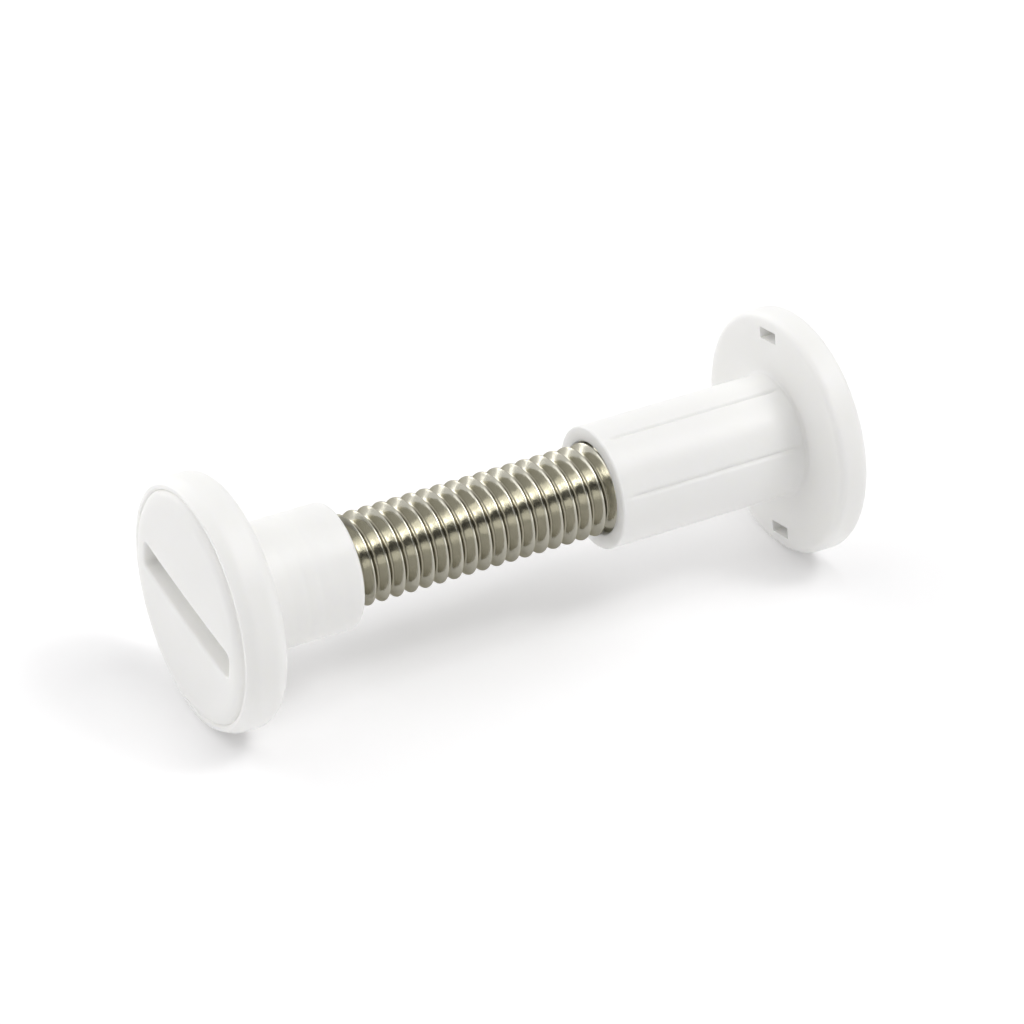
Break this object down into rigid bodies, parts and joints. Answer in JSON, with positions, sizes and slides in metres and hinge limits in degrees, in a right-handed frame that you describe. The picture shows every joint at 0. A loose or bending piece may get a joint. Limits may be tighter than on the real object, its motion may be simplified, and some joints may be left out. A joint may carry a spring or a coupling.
{
  "type": "binding barrel screw",
  "caption": "Two-part panel connector: a slotted round head on a threaded steel stud screws into a flanged plastic sleeve nut.",
  "frame": {"origin": "centre of the sleeve nut's flange, on its outer face, which the part stands on", "axes": "+Z along the screw's axis, from the sleeve nut to the slotted head; +X along the driver slot"},
  "size_m": [0.016, 0.016, 0.0435],
  "materials": {
    "screw_plastic": "white moulded, semi-gloss",
    "plated_steel": "zinc plated, rolled thread",
    "sleeve_plastic": "white moulded, semi-gloss"
  },
  "bodies": {
    "sleeve": {"sleeve_nut": "sleeve_plastic"},
    "screw": {"screw_head": "screw_plastic", "threaded_stud": "plated_steel"}
  },
  "joints": [
    {"name": "screw_feed", "type": "slide", "parent": "sleeve", "child": "screw", "axis": [0, 0, 1], "range_m": [-0.0083, 0.004]}
  ]
}
